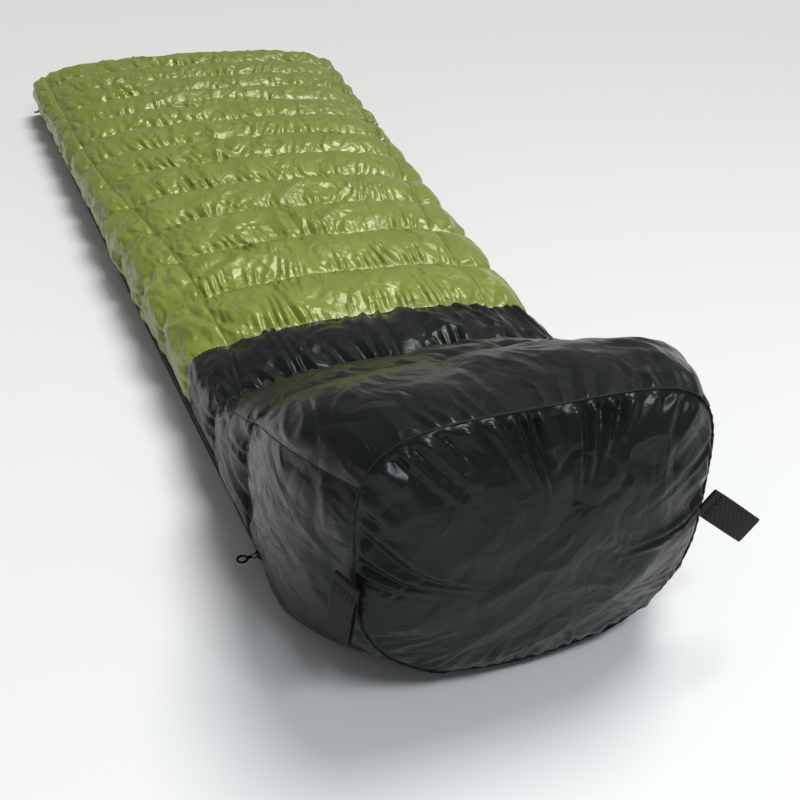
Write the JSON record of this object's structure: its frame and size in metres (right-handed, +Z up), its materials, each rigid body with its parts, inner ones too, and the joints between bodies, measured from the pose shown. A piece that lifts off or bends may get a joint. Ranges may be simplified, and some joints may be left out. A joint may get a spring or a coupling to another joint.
{
  "type": "camp quilt",
  "caption": "Puffy down camp quilt closed into a tube: green baffled body, black sewn foot box with end panel, two-way side zip and webbing hang loops.",
  "frame": {"origin": "under the middle of the quilt's bounding box, on the surface that it lies on", "axes": "+Y from the foot end to the head end, +Z up, +X to the right seen from the foot end, so the zip is on the -X side"},
  "size_m": [0.7219, 1.9916, 0.256],
  "materials": {
    "green_shell": "glossy calendered ripstop nylon, crinkled",
    "black_shell": "glossy calendered nylon, crinkled",
    "lining": "soft matt nylon taffeta",
    "down": "loose white down",
    "baffle_net": "fine mosquito netting",
    "zip_tape": "woven polyester tape",
    "zip_coil": "nylon coil",
    "zip_metal": "black painted zinc",
    "webbing": "ribbed nylon webbing",
    "binding": "folded grosgrain binding"
  },
  "bodies": {
    "quilt": {"top_shell": "green_shell", "left_side_shell": "green_shell", "right_side_shell": "green_shell", "under_shell": "black_shell", "foot_top_shell": "black_shell", "foot_left_shell": "black_shell", "foot_right_shell": "black_shell", "foot_panel_shell": "black_shell", "top_lining": "lining", "left_lining": "lining", "right_lining": "lining", "under_lining": "lining", "foot_top_lining": "lining", "foot_left_lining": "lining", "foot_right_lining": "lining", "foot_panel_lining": "lining", "top_down_01": "down", "top_down_02": "down", "top_down_03": "down", "top_down_04": "down", "top_down_05": "down", "top_down_06": "down", "top_down_07": "down", "top_down_08": "down", "top_down_09": "down", "top_down_10": "down", "top_down_11": "down", "top_down_12": "down", "foot_down_1": "down", "foot_down_2": "down", "foot_down_3": "down", "left_side_down": "down", "right_side_down": "down", "under_down": "down", "foot_panel_down": "down", "top_baffles": "baffle_net", "left_baffles": "baffle_net", "right_baffles": "baffle_net", "under_baffles": "baffle_net", "foot_seam_tape": "zip_tape", "head_hem": "binding", "draft_tube_shell": "black_shell", "draft_tube_down": "down", "upper_zip_facing": "zip_tape", "lower_zip_facing": "zip_tape", "upper_zip_tape": "zip_tape", "lower_zip_tape": "zip_tape", "upper_zip_coil": "zip_coil", "lower_zip_coil": "zip_coil", "zip_bottom_stop": "zip_metal", "zip_top_stops": "zip_metal"},
    "lower_slider": {"lower_slider": "zip_metal"},
    "lower_pull": {"lower_pull": "zip_metal"},
    "upper_slider": {"upper_slider": "zip_metal"},
    "upper_pull": {"upper_pull": "zip_metal"},
    "left_hang_loop": {"left_hang_loop": "webbing"},
    "right_hang_loop": {"right_hang_loop": "webbing"}
  },
  "joints": [
    {"name": "lower_slider_travel", "type": "slide", "parent": "quilt", "child": "lower_slider", "axis": [-0.0995, 0.995, 0], "range_m": [-0.0145, 0.84]},
    {"name": "lower_pull_swing", "type": "hinge", "parent": "lower_slider", "child": "lower_pull", "pos_m": [-0.17987, -0.7757, 0.017], "axis": [0, 0, 1], "range_deg": [-65, 65]},
    {"name": "upper_slider_travel", "type": "slide", "parent": "quilt", "child": "upper_slider", "axis": [-0.0995, 0.995, 0], "range_m": [-0.85, 0.0055]},
    {"name": "upper_pull_swing", "type": "hinge", "parent": "upper_slider", "child": "upper_pull", "pos_m": [-0.35314, 0.957, 0.017], "axis": [0, 0, 1], "range_deg": [-125, 5]},
    {"name": "left_loop_swing", "type": "hinge", "parent": "quilt", "child": "left_hang_loop", "pos_m": [-0.1465, -0.967, 0.135], "axis": [0, 0, 1], "range_deg": [-4, 130]},
    {"name": "right_loop_swing", "type": "hinge", "parent": "quilt", "child": "right_hang_loop", "pos_m": [0.1465, -0.967, 0.135], "axis": [0, 0, 1], "range_deg": [-68, 60]}
  ]
}
